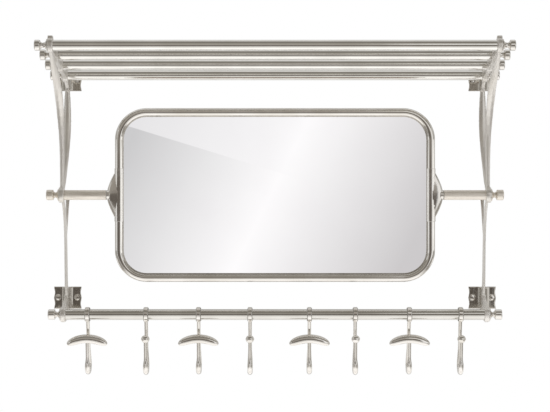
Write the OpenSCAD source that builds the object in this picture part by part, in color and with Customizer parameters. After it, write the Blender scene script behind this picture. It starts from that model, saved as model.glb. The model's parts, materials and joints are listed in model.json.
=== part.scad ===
// Wall rack with a tilting mirror and a rail of sliding hooks, in polished nickel.
// +X is the viewer's right, +Y goes into the wall and +Z is up.
// The origin lies on the wall, at the centre of the rectangle of screw holes.

/* [Shelf] */
// Distance between the centre planes of the two brackets
bracket_span = 933; // [880:1:1200]
// Distance of the front shelf tube from the wall
shelf_reach = 282; // [260:1:320]
// Distance from one shelf tube to the next, measured away from the wall
shelf_pitch = 80; // [70:1:86]
// Rise of the shelf towards the front, in degrees
shelf_slope = 10; // [6:0.5:12]
// Height of the rearmost shelf tube above the upper screw row
shelf_rise = 8; // [4:1:12]
// How far the middle tubes stand above a straight shelf
shelf_camber = 2; // [0:0.5:4]
// Outer diameter of a shelf tube
shelf_tube_d = 22.4; // [20:0.1:24]
// Wall of the shelf tubes, mirror bars and hook rail
tube_wall = 1.5; // [1:0.1:2]

/* [Brackets] */
// Height between the upper and the lower row of wall screws
screw_rise = 490; // [470:1:560]
// Distance between the two screws of one wall plate
screw_gap = 43.6; // [40:0.1:46]
// Diameter of a wall screw's hole
screw_hole_d = 5.5; // [4.5:0.1:6]
// Diameter of the countersink at the front
screw_sink_d = 12.5; // [10:0.1:13]
// Width of a wall plate
plate_w = 62; // [58:1:70]
// Height of a wall plate
plate_h = 50; // [46:1:56]
// Thickness of a wall plate
plate_t = 5; // [4:0.5:7]
// Thickness of the shelf arm
arm_t = 8; // [6:0.5:10]
// Depth of the shelf arm
arm_h = 18; // [14:1:22]
// Greatest width of the front strut
strut_w = 18; // [14:0.5:20]
// Thickness of the front strut
strut_t = 9; // [7:0.5:12]
// Greatest width of the rear leg
leg_w = 18; // [14:0.5:20]
// Thickness of the rear leg
leg_t = 8; // [6:0.5:10]
// Width of the lower leg
lower_w = 8; // [6:0.5:10]
// Depth of the lower leg
lower_t = 31; // [26:1:34]
// Length of the eyes along the tubes
eye_len = 12; // [10:0.5:14]
// Metal round the bore of a shelf eye
eye_wall = 4.4; // [3.5:0.1:6]
// Metal round the bore of a mirror bar eye
bar_eye_wall = 6.3; // [5:0.1:8]

/* [Finials] */
// Length of a finial beyond its eye
finial_len = 27.5; // [24:0.5:32]
// Diameter of a finial's end cap
cap_d = 22.8; // [20:0.1:26]
// Length of the end cap on a shelf finial
shelf_cap_len = 12; // [10:0.5:14]
// Length of the end cap on a mirror bar or rail finial
bar_cap_len = 15.5; // [13:0.5:17]
// Diameter of a finial's neck
neck_d = 11; // [9:0.5:13]
// Diameter of a finial's flange
flange_d = 26; // [24:0.5:28]

/* [Mirror] */
// Width over the mirror frame
mirror_w = 700; // [600:1:720]
// Height over the mirror frame
mirror_h = 380; // [320:1:400]
// Diameter of the frame's tube
frame_d = 18; // [16:0.5:20]
// Radius of the frame's outer corners
corner_r = 70; // [50:1:90]
// How far the frame's lips reach over the glass, from the tube's inner side
lip = 2.5; // [1.5:0.1:4]
// Thickness of the glass
glass_t = 4; // [3:0.5:5]
// Thickness of the backing board
board_t = 3; // [2:0.5:3.5]
// Distance of the mirror's tilt axis from the wall
bar_reach = 107; // [103:1:114]
// Height of the tilt axis below the origin
bar_drop = 14.5; // [5:0.5:25]
// Outer diameter of a mirror bar
bar_d = 21.4; // [20:0.1:23]
// Length of a pivot sleeve
sleeve_len = 116; // [90:1:130]
// Wall of a pivot sleeve
sleeve_wall = 1.15; // [0.8:0.05:1.6]
// Height of the boss on a pivot sleeve
boss_h = 95; // [80:1:110]
// How far the boss stands out from the frame
boss_out = 18; // [15:0.5:21]
// Diameter of the pivot pin
pin_d = 10; // [8:0.5:12]

/* [Hooks] */
// Distance of the hook rail from the wall
rail_reach = 81; // [76:1:90]
// Height of the rail below the lower screw row
rail_drop = 32.5; // [29:0.5:36]
// Outer diameter of the hook rail
rail_d = 23.8; // [22:0.1:25]
// Outer diameter of a hook's eye
hook_eye_d = 33; // [31:0.5:36]
// Width of a hook's eye
hook_eye_w = 8.5; // [8:0.5:12]
// Wall of the liner inside a hook's eye
liner_wall = 1.5; // [1:0.1:1.8]
// Diameter of a hook's shank
shank_d = 8; // [6.5:0.5:9]
// Diameter of a hook at its bend
bend_d = 11.6; // [9:0.1:13]
// Diameter of a hook below its tip
tip_d = 7.2; // [6:0.1:8]
// Radius of a hook's bend
bend_r = 16; // [14:0.5:20]
// Depth of a hook below the rail's axis
hook_drop = 133.5; // [125:0.5:150]
// Height of a hook's ball or crescent below the rail's axis
tip_drop = 50; // [45:0.5:60]
// Backward lean of a coat hook's shank, in degrees, at which it hangs balanced
coat_lean = 10.5; // [6:0.1:14]
// Backward lean of a hat hook's shank, in degrees, at which it hangs balanced
hat_lean = 15.3; // [8:0.1:18]
// Forward lean of the hooks' front leg, in degrees
front_lean = 8; // [4:0.5:12]
// Width of a coat hook's ball
ball_w = 19; // [16:0.5:22]
// Height of a coat hook's ball
ball_h = 15.5; // [13:0.5:18]
// Width of a hat hook's crescent
crescent_w = 88; // [70:1:96]
// Height of the crescent at its middle
crescent_h = 18.5; // [15:0.5:22]
// Depth of the crescent at its middle
crescent_t = 15; // [12:0.5:18]
// How far the crescent's tips hang below its middle
crescent_sag = 12.5; // [9:0.5:16]

/* [Hidden] */
$fn = 64;
fit = 0.05;          // radial clearance of a bore on its pin or tube
play = 0.1;          // end play between pieces that turn on each other
over = 1;            // overrun of every cut
shelf_count = 4;
hook_count = 8;
sides = ["left", "right"];

shelf_names = [for (i = [1:shelf_count]) str("shelf_tube_", i)];
shelf_finial_names = [for (i = [1:shelf_count]) for (s = sides) str("shelf_finial_", i, "_", s)];
liner_names = [for (i = [1:hook_count]) str("hook_liner_", i)];
function is_hat(i) = i % 2 == 1;
hook_names = [for (i = [1:hook_count]) str(is_hat(i) ? "hat_hook_" : "coat_hook_", i)];
side_names = [for (n = ["bracket_", "mirror_bar_", "mirror_bar_finial_", "rail_finial_",
                        "pivot_sleeve_", "pivot_stud_", "pivot_washer_"])
              for (s = sides) str(n, s)];

nickel = [0.78, 0.76, 0.72];
cast_nickel = [0.74, 0.72, 0.68];
steel = [0.6, 0.6, 0.6];
nylon = [0.92, 0.91, 0.88];
board_brown = [0.42, 0.30, 0.20];
silvered = [0.86, 0.89, 0.90];

upper_row_z = screw_rise / 2;
lower_row_z = -screw_rise / 2;
half_span = bracket_span / 2;
eye_face = half_span + eye_len / 2;
function side_sign(s) = s == "left" ? -1 : 1;

// Distance from the wall and height of shelf tube i, counted from the front.
function shelf_share(i) = (shelf_count - i) / (shelf_count - 1);
function shelf_d(i) = shelf_reach - (i - 1) * shelf_pitch;
function shelf_z(i) = upper_row_z + shelf_rise
    + (shelf_count - i) * shelf_pitch * tan(shelf_slope)
    + 4 * shelf_camber * shelf_share(i) * (1 - shelf_share(i));
bar_z = -bar_drop;
rail_z = lower_row_z - rail_drop;
front_at = [shelf_d(1), shelf_z(1)];
back_at = [shelf_d(shelf_count), shelf_z(shelf_count)];
bar_at = [bar_reach, bar_z];
rail_at = [rail_reach, rail_z];

shelf_eye_r = shelf_tube_d / 2 + eye_wall;
bar_eye_r = bar_d / 2 + bar_eye_wall;
rail_eye_r = rail_d / 2 + eye_wall;

// Points along a cubic curve, and its direction, for t from 0 to 1.
function bezier(p, t) = let (u = 1 - t)
    u * u * u * p[0] + 3 * u * u * t * p[1] + 3 * u * t * t * p[2] + t * t * t * p[3];
function bezier_way(p, t) = let (u = 1 - t)
    3 * u * u * (p[1] - p[0]) + 6 * u * t * (p[2] - p[1]) + 3 * t * t * (p[3] - p[2]);
function unit(v) = v / norm(v);
function mix(a, b, t) = a + (b - a) * t;
// A value from a row of evenly spaced shares, at t from 0 to 1.
function along(row, t) = let (k = t * (len(row) - 1), i = min(floor(k), len(row) - 2))
    mix(row[i], row[i + 1], k - i);
function between(a, b, share) = [mix(a[0], b[0], share[0]), mix(a[1], b[1], share[1])];
// A power under one squares an ellipse a little, and one over one gives it ridges.
function full(v, power) = sign(v) * pow(abs(v), power);
function arc(centre, r, from, to, steps) =
    [for (k = [0:steps]) centre + r * [cos(mix(from, to, k / steps)), sin(mix(from, to, k / steps))]];

// Side view: x is the distance from the wall and y is the height.
module in_side() {
    rotate([90, 0, -90])
        children();
}

module along_x(at, x) {
    translate([x, -at[0], at[1]])
        rotate([0, 90, 0])
            children();
}

// A closed skin through a row of rings, all with the same number of points.
module loft(rings) {
    n = len(rings[0]);
    m = len(rings);
    skin = [for (i = [0:m - 2]) for (j = [0:n - 1])
            let (a = i * n + j, b = i * n + (j + 1) % n)
            each [[a, a + n, b + n], [a, b + n, b]]];
    first = [[for (j = [0:n - 1]) j]];
    last = [[for (j = [n - 1:-1:0]) (m - 1) * n + j]];
    polyhedron(points = [for (r = rings) each r], faces = concat(skin, first, last));
}

// A skin along the side view. Each station holds a place, a direction, half a width and half a depth.
sweep_points = 12;
module sweep(stations, power) {
    loft([for (s = stations)
        [for (j = [0:sweep_points - 1])
            let (turn = 360 * j / sweep_points,
                 across = s[2] * full(cos(turn), power),
                 deep = s[3] * full(sin(turn), power))
            [across, -s[0][0] + deep * s[1][1], s[0][1] + deep * s[1][0]]]]);
}

// A rib in the bracket's plane: a cubic curve whose width and depth follow rows of shares. Its
// section has a soft ridge front and back.
rib_rings = 18;
rib_power = 1.35;
module rib(curve, width, width_shares, depth, depth_shares) {
    sweep([for (k = [0:rib_rings]) let (t = k / rib_rings)
              [bezier(curve, t), unit(bezier_way(curve, t)),
               width / 2 * along(width_shares, t), depth / 2 * along(depth_shares, t)]],
          rib_power);
}

// An eye round a tube, with bevelled edges.
eye_bevel_share = 0.12;
module eye(at, r) {
    bevel = eye_len * eye_bevel_share;
    along_x(at, -eye_len / 2)
        rotate_extrude()
            polygon([[0, 0], [r - bevel, 0], [r, bevel], [r, eye_len - bevel],
                     [r - bevel, eye_len], [0, eye_len]]);
}

// Front outline of a wall plate: its sides swell at the screws and at the corners.
plate_wave_share = 0.03;
plate_steps = 24;
function plate_half(z) = plate_w / 2 * (1 - plate_wave_share * (1 - cos(720 * z / plate_h)));
plate_outline = concat(
    [for (k = [0:plate_steps]) let (z = mix(-plate_h, plate_h, k / plate_steps) / 2) [plate_half(z), z]],
    [for (k = [0:plate_steps]) let (z = mix(plate_h, -plate_h, k / plate_steps) / 2) [-plate_half(z), z]]);

// Plan of the plate and its ridge: a cove leads from each wing up to the ridge.
cove_steps = 8;
module wall_plate(z) {
    ridge_half = arm_t / 2;
    cove_r = screw_gap / 2 - screw_sink_d / 2 - ridge_half;
    cove = [ridge_half + cove_r, plate_t + cove_r];
    right_cove = arc(cove, cove_r, 270, 180, cove_steps);
    left_cove = [for (k = [cove_steps:-1:0]) [-right_cove[k][0], right_cove[k][1]]];
    translate([0, 0, z])
        difference() {
            union() {
                rotate([90, 0, 0])
                    linear_extrude(plate_t)
                        polygon(plate_outline);
                translate([0, 0, -plate_h / 2])
                    linear_extrude(plate_h)
                        mirror([0, 1])
                            polygon(concat([[ridge_half + cove_r, 0]], right_cove,
                                           left_cove, [[-ridge_half - cove_r, 0]]));
            }
            for (x = [-screw_gap / 2, screw_gap / 2])
                translate([x, 0, 0])
                    rotate([90, 0, 0]) {
                        translate([0, 0, -over])
                            cylinder(h = plate_t + 2 * over, d = screw_hole_d);
                        translate([0, 0, plate_t - (screw_sink_d - screw_hole_d) / 2])
                            cylinder(h = (screw_sink_d - screw_hole_d) / 2 + over,
                                     d1 = screw_hole_d, d2 = screw_sink_d + 2 * over);
                    }
        }
}

// The shelf arm runs from the upper plate to the front eye, under all four tubes.
module shelf_arm() {
    way = unit(front_at - back_at);
    up = [-way[1], way[0]];
    below_share = 0.62;
    tail = [plate_t / 2, upper_row_z + plate_h / 2];
    foot = [plate_t / 2, upper_row_z - plate_h / 2];
    in_side()
        linear_extrude(arm_t, center = true)
            polygon([
                tail,
                back_at + up * arm_h * (1 - below_share),
                front_at + up * arm_h * (1 - below_share),
                front_at - up * arm_h * below_share,
                back_at - up * arm_h * below_share,
                foot]);
}

// The lug on top of the front eye.
lug_w_share = 0.9;
lug_h_share = 0.75;
module front_lug() {
    w = eye_len * lug_w_share;
    h = eye_len * lug_h_share;
    foot = front_at[1] + shelf_tube_d / 2 + eye_wall / 2;
    top = front_at[1] + shelf_tube_d / 2 + h;
    bevel = w * eye_bevel_share;
    translate([-w / 2, -front_at[0], 0])
        rotate([90, 0, 90])
            linear_extrude(w)
                polygon([[-w / 2, foot], [w / 2, foot], [w / 2, top - bevel], [w / 2 - bevel, top],
                         [-w / 2 + bevel, top], [-w / 2, top - bevel]]);
}

// Ribs of the bracket, as cubic curves in shares of the distances between what they join.
strut_shares = [[1, 0.98], [0.53, 0.77], [-0.13, 0.763], [0, 0.03]];
strut_width_shares = [0.45, 0.62, 0.82, 0.96, 1, 1, 0.9, 0.66, 0.5, 0.44];
strut_depth_shares = [1.1, 1, 1, 1, 1, 1, 0.95, 0.9, 0.9, 1];
leg_shares = [[0, 0.93], [0, 0.54], [0.01, 0.26], [1, -0.02]];
leg_width_shares = [0.6, 0.86, 1, 1, 0.88, 0.74, 0.6, 0.54, 0.5, 0.5];
leg_depth_shares = [1, 1, 1, 1, 1, 1, 1, 1.05, 1.1, 1.2];
lower_shares = [[1, 1], [0, 0.84], [0.34, 0.35], [0.08, 0.04]];
lower_width_shares = [0.9, 0.85, 0.8, 0.8, 0.85, 0.9, 1];
lower_depth_shares = [0.3, 0.75, 1, 1, 1, 0.9, 0.8];
module ribs() {
    leg_d = plate_t + leg_t / 2;
    rib([for (s = strut_shares) between(bar_at, front_at, s)],
        strut_w, strut_width_shares, strut_t, strut_depth_shares);
    rib([for (s = leg_shares) between([leg_d, bar_z], [bar_reach, upper_row_z], s)],
        leg_w, leg_width_shares, leg_t, leg_depth_shares);
    rib([for (s = lower_shares) between([plate_t + lower_t / 3, lower_row_z], bar_at, s)],
        lower_w, lower_width_shares, lower_t, lower_depth_shares);
}

// A short spur behind the mirror bar rests on the wall.
pad_d_share = 2.2;
pad_t_share = 0.8;
spur_shares = [[0.4, -0.4], [0.24, -0.27], [0.12, -0.16], [0.03, 0]];
spur_width_shares = [0.9, 0.9, 0.9, 1, 1.3];
spur_depth_shares = [1.4, 1.15, 1, 1, 1.5];
module wall_spur() {
    drop = bar_z - lower_row_z;
    rib([for (s = spur_shares) [bar_reach * s[0], bar_z + drop * s[1]]],
        lower_w, spur_width_shares, leg_t, spur_depth_shares);
    translate([0, 0, bar_z])
        rotate([90, 0, 0])
            cylinder(h = plate_t * pad_t_share, d = lower_w * pad_d_share);
}

// The gusset that carries the rail's eye in front of the lower plate.
foot_shares = [[0, 1], [0.2, 0.9], [0.42, 0.62], [1, 0.3], [1, -0.3], [0.45, -0.26], [0, -0.12]];
module rail_arm() {
    top = lower_row_z + plate_h / 2;
    in_side()
        linear_extrude(arm_t, center = true)
            polygon([for (s = foot_shares) [mix(plate_t / 2, rail_reach, s[0]), mix(rail_z, top, s[1])]]);
}

module bracket(side) {
    color(cast_nickel)
        translate([side_sign(side) * half_span, 0, 0])
            difference() {
                union() {
                    shelf_arm();
                    for (i = [1:shelf_count])
                        eye([shelf_d(i), shelf_z(i)], shelf_eye_r);
                    front_lug();
                    ribs();
                    wall_spur();
                    rail_arm();
                    eye(bar_at, bar_eye_r);
                    eye(rail_at, rail_eye_r);
                    wall_plate(upper_row_z);
                    wall_plate(lower_row_z);
                }
                for (i = [1:shelf_count])
                    along_x([shelf_d(i), shelf_z(i)], -eye_len)
                        cylinder(h = 2 * eye_len, d = shelf_tube_d + 2 * fit);
                along_x(bar_at, -eye_len)
                    cylinder(h = 2 * eye_len, d = bar_d + 2 * fit);
                along_x(rail_at, -eye_len)
                    cylinder(h = 2 * eye_len, d = rail_d + 2 * fit);
            }
}

// A tube along X, from one x to another.
module tube(at, from, to, d) {
    along_x(at, from)
        difference() {
            cylinder(h = to - from, d = d);
            translate([0, 0, -over])
                cylinder(h = to - from + 2 * over, d = d - 2 * tube_wall);
        }
}

module shelf_tube(i) {
    color(nickel)
        tube([shelf_d(i), shelf_z(i)], -eye_face, eye_face, shelf_tube_d);
}

module hook_rail() {
    color(nickel)
        tube(rail_at, -eye_face, eye_face, rail_d);
}

// Turned profile of a finial, from the eye's face outwards: flange, cove, neck and barrel cap.
spigot_len_share = 0.55;
cove_share = 0.32;
round_share = 0.2;
finial_steps = 8;
module finial(at, side, tube_d, cap_len) {
    cap_r = cap_d / 2;
    neck_r = neck_d / 2;
    flange_r = flange_d / 2;
    flange_t = finial_len * round_share / 2;
    cap_start = finial_len - cap_len;
    cove_end = flange_t + (cap_start - flange_t) * (1 - cove_share);
    edge_r = cap_d * round_share / 2;
    spigot_r = tube_d / 2 - tube_wall - fit;
    spigot_len = finial_len * spigot_len_share;
    cove_x = flange_r - flange_t - neck_r;
    cove_y = cove_end - flange_t;
    profile = concat(
        [[0, -spigot_len], [spigot_r, -spigot_len], [spigot_r, 0], [flange_r - edge_r / 2, 0],
         [flange_r, edge_r / 2], [flange_r, flange_t]],
        [for (k = [0:finial_steps]) let (a = 90 * k / finial_steps)
            [neck_r + cove_x * (1 - sin(a)), flange_t + cove_y * (1 - cos(a))]],
        [[neck_r, cap_start - edge_r]],
        [for (k = [1:finial_steps]) let (a = 90 * k / finial_steps)
            [neck_r + (cap_r - edge_r - neck_r) * (1 - cos(a)), cap_start - edge_r + edge_r * sin(a)]],
        arc([cap_r - edge_r, cap_start + edge_r], edge_r, -90, 0, finial_steps),
        arc([cap_r - edge_r, finial_len - edge_r], edge_r, 0, 90, finial_steps),
        [[0, finial_len]]);
    translate([side_sign(side) * eye_face, -at[0], at[1]])
        rotate([0, side_sign(side) * 90, 0])
            rotate_extrude()
                polygon(profile);
}

module shelf_finial(i, side) {
    color(nickel)
        finial([shelf_d(i), shelf_z(i)], side, shelf_tube_d, shelf_cap_len);
}

module mirror_bar_finial(side) {
    color(nickel)
        finial(bar_at, side, bar_d, bar_cap_len);
}

module rail_finial(side) {
    color(nickel)
        finial(rail_at, side, rail_d, bar_cap_len);
}

// The mirror frame's tube runs on a rounded rectangle. Its inner side holds a channel for glass and board.
half_w = mirror_w / 2 - frame_d / 2;
half_h = mirror_h / 2 - frame_d / 2;
bend_centre_r = corner_r - frame_d / 2;
pack_t = glass_t + board_t;
channel_deep = frame_d / 4;
lip_t = frame_d / 10;
frame_wall = frame_d / 12;
butt = play / 2;

// Section of the frame: x is outwards from the tube's centre line and y is away from the wall.
module frame_section() {
    outer_t = pack_t + 2 * play + 2 * lip_t;
    reach = frame_d / 2 + lip;
    difference() {
        union() {
            circle(d = frame_d);
            translate([-reach, -outer_t / 2])
                square([reach, outer_t]);
        }
        difference() {
            circle(d = frame_d - 2 * frame_wall);
            translate([-reach, -outer_t / 2])
                square([reach - channel_deep + lip_t, outer_t]);
        }
        translate([-reach - over, -pack_t / 2 - play])
            square([reach + over - channel_deep, pack_t + 2 * play]);
    }
}

// One half of the frame, from the tilt axis up. The section's outward side is turned with the path.
module frame_half() {
    straight = half_h - bend_centre_r;
    across = half_w - bend_centre_r;
    for (s = [-1, 1])
        scale([s, 1, 1]) {
            translate([half_w, 0, butt])
                linear_extrude(straight - butt)
                    mirror([0, 1])
                        frame_section();
            translate([across, 0, straight])
                rotate([90, 0, 0])
                    rotate_extrude(angle = 90)
                        translate([bend_centre_r, 0])
                            frame_section();
        }
    translate([-across, 0, half_h])
        rotate([0, 90, 0])
            linear_extrude(2 * across)
                rotate(180)
                    frame_section();
}

module mirror_frame_top() {
    color(nickel)
        translate([0, -bar_reach, bar_z])
            frame_half();
}

module mirror_frame_bottom() {
    color(nickel)
        translate([0, -bar_reach, bar_z])
            mirror([0, 0, 1])
                frame_half();
}

// A rounded plate that lies in the frame's channel, its front face a distance before the tube's centre.
module channel_plate(front, t) {
    inset_w = half_w - channel_deep - play;
    inset_h = half_h - channel_deep - play;
    r = bend_centre_r - channel_deep - play;
    translate([0, -bar_reach - front, bar_z])
        rotate([-90, 0, 0])
            linear_extrude(t)
                union() {
                    square([2 * inset_w, 2 * (inset_h - r)], center = true);
                    square([2 * (inset_w - r), 2 * inset_h], center = true);
                    for (x = [-1, 1])
                        for (z = [-1, 1])
                            translate([x * (inset_w - r), z * (inset_h - r)])
                                circle(r = r);
                }
}

module mirror_glass() {
    color(silvered)
        channel_plate(pack_t / 2, glass_t);
}

module backing_board() {
    color(board_brown)
        channel_plate(pack_t / 2 - glass_t, board_t);
}

// Pivot sleeve: a split tube over the butted frame ends, with a boat-shaped boss on its outer side.
sleeve_r = frame_d / 2 + fit + sleeve_wall;
boss_face = mirror_w / 2 + boss_out;
boss_rings = 14;
boss_points = 16;
boss_tip_share = 0.1;
boss_power = 1.6;
boss_neck_share = 0.35;
boss_end_share = 0.55;
screw_place_share = 0.36;
frame_screw_d = frame_d / 4;
module boss_hull() {
    reach = boss_face - half_w;
    loft([for (k = [0:boss_rings])
        let (share = mix(-1, 1, k / boss_rings),
             z = boss_h / 2 * share,
             swell = mix(1, boss_tip_share, pow(abs(share), boss_power)))
        [for (j = [0:boss_points - 1])
            let (a = 360 * j / boss_points)
            [half_w + max(0, cos(a)) * mix(sleeve_r, reach, swell) + min(0, cos(a)) * sleeve_r * swell,
             sin(a) * sleeve_r * mix(boss_end_share, 1, swell), z]]]);
}

module pivot_sleeve(side) {
    face_len = boss_out * boss_neck_share;
    color(cast_nickel)
        translate([0, -bar_reach, bar_z])
            scale([side_sign(side), 1, 1])
                difference() {
                    union() {
                        translate([half_w, 0, -sleeve_len / 2])
                            cylinder(h = sleeve_len, r = sleeve_r);
                        boss_hull();
                        translate([boss_face - face_len, 0, 0])
                            rotate([0, 90, 0])
                                cylinder(h = face_len, d = bar_d);
                    }
                    translate([half_w, 0, -sleeve_len / 2 - over])
                        cylinder(h = sleeve_len + 2 * over, r = frame_d / 2 + fit);
                    translate([half_w - 2 * sleeve_r, -pack_t / 2 - lip_t - 2 * play, -sleeve_len / 2 - over])
                        cube([2 * sleeve_r, pack_t + 2 * lip_t + 4 * play, sleeve_len + 2 * over]);
                    translate([boss_face - boss_out + sleeve_wall + play, 0, 0])
                        rotate([0, 90, 0])
                            cylinder(h = boss_out + over, d = pin_d + 2 * fit);
                    for (z = [-sleeve_len * screw_place_share, sleeve_len * screw_place_share])
                        translate([half_w, 0, z])
                            rotate([-90, 0, 0])
                                cylinder(h = sleeve_r + over, d = frame_screw_d + 2 * fit);
                }
}

// The screws that lock the frame's ends in the sleeves, from behind.
module frame_screws() {
    head_h = frame_screw_d / 2;
    color(steel)
        for (x = [-half_w, half_w])
            for (z = [-sleeve_len * screw_place_share, sleeve_len * screw_place_share])
                translate([x, -bar_reach + frame_d / 2 + play, bar_z + z])
                    rotate([-90, 0, 0]) {
                        cylinder(h = sleeve_wall + head_h, d = frame_screw_d);
                        translate([0, 0, sleeve_wall + play])
                            cylinder(h = head_h, d = 1.5 * frame_screw_d);
                    }
}

washer_t = frame_d / 18;
bar_end = boss_face + washer_t + 2 * play;
module mirror_bar(side) {
    color(nickel)
        scale([side_sign(side), 1, 1])
            tube(bar_at, bar_end, eye_face, bar_d);
}

// The stud's plug sits in the end of the mirror bar and its pin turns in the boss.
plug_share = 0.25;
module pivot_stud(side) {
    pin_start = boss_face - boss_out + sleeve_wall + 4 * play;
    color(steel)
        scale([side_sign(side), 1, 1])
            union() {
                along_x(bar_at, pin_start)
                    cylinder(h = bar_end - pin_start + over, d = pin_d);
                along_x(bar_at, bar_end)
                    cylinder(h = (eye_face - bar_end) * plug_share, d = bar_d - 2 * tube_wall - 2 * fit);
            }
}

module pivot_washer(side) {
    color(nylon)
        scale([side_sign(side), 1, 1])
            along_x(bar_at, boss_face + play)
                difference() {
                    cylinder(h = washer_t, d = bar_d - washer_t);
                    translate([0, 0, -over])
                        cylinder(h = washer_t + 2 * over, d = pin_d + 2 * fit);
                }
}

// Places of the hooks along the rail, as shares of the distance from the middle to a bracket.
hook_shares = [-0.885, -0.609, -0.361, -0.118, 0.1625, 0.379, 0.634, 0.876];
function hook_x(i) = half_span * hook_shares[i - 1];
liner_r = rail_d / 2 + fit + liner_wall;
liner_flange = liner_wall * 0.6;
module hook_liner(i) {
    w = hook_eye_w + 4 * play;
    color(nylon)
        along_x(rail_at, hook_x(i) - w / 2 - liner_flange)
            difference() {
                union() {
                    cylinder(h = w + 2 * liner_flange, r = liner_r);
                    cylinder(h = liner_flange, r = liner_r + liner_wall);
                    translate([0, 0, w + liner_flange])
                        cylinder(h = liner_flange, r = liner_r + liner_wall);
                }
                translate([0, 0, -over])
                    cylinder(h = w + 2 * liner_flange + 2 * over, d = rail_d + 2 * fit);
            }
}

// Ball of a coat hook, a little wider than high.
ball_rings = 10;
ball_points = 14;
ball_turn = 76;
module ball_tip() {
    loft([for (k = [0:ball_rings])
        let (turn = mix(-ball_turn, ball_turn, k / ball_rings))
        [for (j = [0:ball_points - 1])
            let (a = 360 * (j + 0.5) / ball_points)
            [ball_w / 2 * cos(turn) * cos(a), ball_w / 2 * cos(turn) * sin(a),
             ball_h / 2 * sin(turn) / sin(ball_turn)]]]);
}

// Crescent of a hat hook: a swelling bow whose tips hang down.
crescent_rings = 18;
crescent_points = 12;
crescent_end = 80;
crescent_square = 4;
crescent_power = 0.45;
module crescent_tip() {
    loft([for (k = [0:crescent_rings])
        let (turn = mix(-crescent_end, crescent_end, k / crescent_rings),
             share = sin(turn) / sin(crescent_end),
             swell = pow(1 - pow(sin(turn), crescent_square), crescent_power),
             x = crescent_w / 2 * share,
             z = -crescent_sag * share * share,
             way = unit([crescent_w / 2, -2 * crescent_sag * share]))
        [for (j = [0:crescent_points - 1])
            let (a = 360 * j / crescent_points,
                 deep = crescent_t / 2 * swell * cos(a),
                 high = crescent_h / 2 * swell * sin(a))
            [x - high * way[1], deep, z + high * way[0]]]]);
}

// The J of a hook in side view, from the rail's axis down a leaning shank, round and up the front leg.
shank_step_share = 0.7;
leg_step_share = 0.3;
bend_steps = 12;
bend_height = hook_drop - bend_r - bend_d / 2;
function shank_len(lean) = (bend_height - bend_r * sin(lean)) / cos(lean);
function bend_centre(lean) = [bend_r * cos(lean) - shank_len(lean) * sin(lean), -bend_height];
function front_foot(lean) = bend_centre(lean) + bend_r * [cos(front_lean), -sin(front_lean)];
function tip_at(lean) = let (foot = front_foot(lean))
    [foot[0] + (-tip_drop - foot[1]) * tan(front_lean), -tip_drop];
module hook_body(lean) {
    down = [-sin(lean), -cos(lean)];
    up = [sin(front_lean), cos(front_lean)];
    root = (hook_eye_d / 2 + liner_r + fit) / 2;
    step = shank_len(lean) * shank_step_share;
    places = concat(
        [[root * down, down, shank_d], [step * down, down, shank_d]],
        [for (k = [0:bend_steps]) let (a = mix(180 - lean, 360 - front_lean, k / bend_steps))
            [bend_centre(lean) + bend_r * [cos(a), sin(a)], [-sin(a), cos(a)], bend_d]],
        [[mix(front_foot(lean), tip_at(lean), leg_step_share), up, tip_d], [tip_at(lean), up, tip_d]]);
    difference() {
        union() {
            rotate([0, 90, 0])
                translate([0, 0, -hook_eye_w / 2])
                    cylinder(h = hook_eye_w, d = hook_eye_d);
            sweep([for (p = places) [p[0], p[1], p[2] / 2, p[2] / 2]], 1);
        }
        rotate([0, 90, 0])
            translate([0, 0, -hook_eye_w])
                cylinder(h = 2 * hook_eye_w, r = liner_r + fit);
    }
}

module hook(i) {
    lean = is_hat(i) ? hat_lean : coat_lean;
    tip = tip_at(lean);
    color(nickel)
        translate([hook_x(i), -rail_reach, rail_z])
            union() {
                hook_body(lean);
                translate([0, -tip[0], tip[1]]) {
                    if (is_hat(i)) {
                        crescent_tip();
                    } else {
                        rotate([front_lean, 0, 0])
                            ball_tip();
                    }
                }
            }
}

for (s = sides) {
    bracket(s);
    mirror_bar(s);
    mirror_bar_finial(s);
    rail_finial(s);
    pivot_sleeve(s);
    pivot_stud(s);
    pivot_washer(s);
    for (i = [1:shelf_count])
        shelf_finial(i, s);
}
for (i = [1:shelf_count])
    shelf_tube(i);
hook_rail();
mirror_frame_top();
mirror_frame_bottom();
mirror_glass();
backing_board();
frame_screws();
for (i = [1:hook_count]) {
    hook_liner(i);
    hook(i);
}
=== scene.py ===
import bpy, bmesh, json, math
from mathutils import Matrix, Vector


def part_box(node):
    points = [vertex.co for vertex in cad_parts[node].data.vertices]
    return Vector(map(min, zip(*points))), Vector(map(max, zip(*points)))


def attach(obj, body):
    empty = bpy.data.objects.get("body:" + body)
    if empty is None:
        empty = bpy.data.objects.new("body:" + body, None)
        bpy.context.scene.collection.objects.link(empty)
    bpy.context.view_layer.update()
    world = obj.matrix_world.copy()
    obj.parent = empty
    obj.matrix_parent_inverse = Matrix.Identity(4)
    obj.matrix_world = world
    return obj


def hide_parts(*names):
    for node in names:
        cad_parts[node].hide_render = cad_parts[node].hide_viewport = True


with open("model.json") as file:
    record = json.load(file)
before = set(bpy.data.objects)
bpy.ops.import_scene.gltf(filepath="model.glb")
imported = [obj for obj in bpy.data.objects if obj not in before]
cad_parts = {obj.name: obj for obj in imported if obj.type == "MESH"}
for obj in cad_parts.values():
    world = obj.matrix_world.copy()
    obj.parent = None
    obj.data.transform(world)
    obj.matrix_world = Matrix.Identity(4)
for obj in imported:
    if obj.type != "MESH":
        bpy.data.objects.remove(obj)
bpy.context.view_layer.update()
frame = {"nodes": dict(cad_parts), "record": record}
nodes = frame["nodes"]
mm = 0.001  # the forms below are in mm, shares, counts and degrees, and the room's in metres
weld = 1e-7  # vertices closer than this are one, in metres
cadWeld = 1e-6  # the same in the frame's own meshes
sliver = 0.004 * mm  # edges shorter than this are merged where solids are fused
creaseAngle = math.radians(34)  # edges sharper than this are softened, or shaded sharp
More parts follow.
